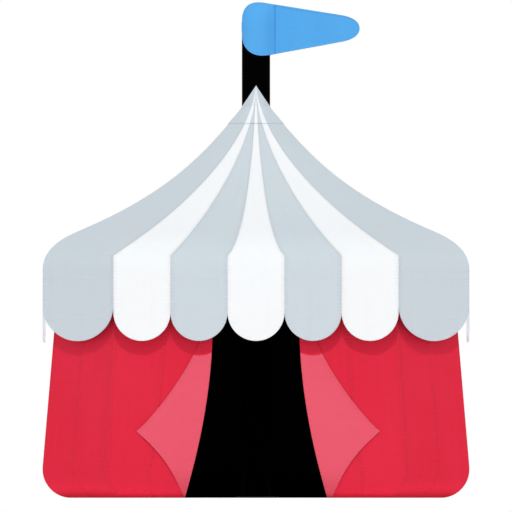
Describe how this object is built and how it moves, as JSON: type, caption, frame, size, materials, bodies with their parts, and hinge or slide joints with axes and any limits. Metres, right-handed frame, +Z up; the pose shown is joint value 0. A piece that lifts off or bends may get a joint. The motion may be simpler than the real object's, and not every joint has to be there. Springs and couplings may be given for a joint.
{
  "type": "circus big top tent",
  "caption": "One-mast show tent with a striped peaked roof, scalloped valance, red walls, an open doorway with tied-back flaps, and a flag on the mast.",
  "frame": {"origin": "on the mast's axis at ground level, in the underside of the mast's foot plate", "axes": "+Z up, the entrance faces -Y, +X to the right seen from the entrance"},
  "size_m": [10, 10.0203, 11.6922],
  "materials": {
    "grey_canvas": "matt light grey tent canvas",
    "white_canvas": "matt white tent canvas",
    "red_canvas": "matt red tent canvas, blackout inside",
    "pink_lining": "soft pink lining of the door flaps",
    "blue_flag": "light blue bunting cloth",
    "mast_paint": "satin black paint",
    "frame_metal": "dark grey paint"
  },
  "bodies": {
    "root": {"roof_front_1": "white_canvas", "roof_front_2": "grey_canvas", "roof_front_3": "white_canvas", "roof_front_4": "grey_canvas", "roof_front_5": "white_canvas", "roof_right_1": "white_canvas", "roof_right_2": "grey_canvas", "roof_right_3": "white_canvas", "roof_right_4": "grey_canvas", "roof_right_5": "white_canvas", "roof_back_1": "white_canvas", "roof_back_2": "grey_canvas", "roof_back_3": "white_canvas", "roof_back_4": "grey_canvas", "roof_back_5": "white_canvas", "roof_left_1": "white_canvas", "roof_left_2": "grey_canvas", "roof_left_3": "white_canvas", "roof_left_4": "grey_canvas", "roof_left_5": "white_canvas", "roof_corner_front_right": "grey_canvas", "roof_corner_back_right": "grey_canvas", "roof_corner_back_left": "grey_canvas", "roof_corner_front_left": "grey_canvas", "roof_crown": "grey_canvas", "wall_front_left": "red_canvas", "wall_front_right": "red_canvas", "wall_over_door": "red_canvas", "wall_right": "red_canvas", "wall_back": "red_canvas", "wall_left": "red_canvas", "wall_corner_front_right": "red_canvas", "wall_corner_back_right": "red_canvas", "wall_corner_back_left": "red_canvas", "wall_corner_front_left": "red_canvas", "door_flap_left": "pink_lining", "door_flap_right": "pink_lining", "post_front_left": "frame_metal", "post_front_right": "frame_metal", "post_right_left": "frame_metal", "post_right_right": "frame_metal", "post_back_left": "frame_metal", "post_back_right": "frame_metal", "post_left_left": "frame_metal", "post_left_right": "frame_metal", "eave_beam": "frame_metal", "shoulder_beam": "frame_metal", "mast": "mast_paint", "mast_foot": "frame_metal", "crown_ring": "frame_metal", "flag": "blue_flag"}
  },
  "joints": []
}
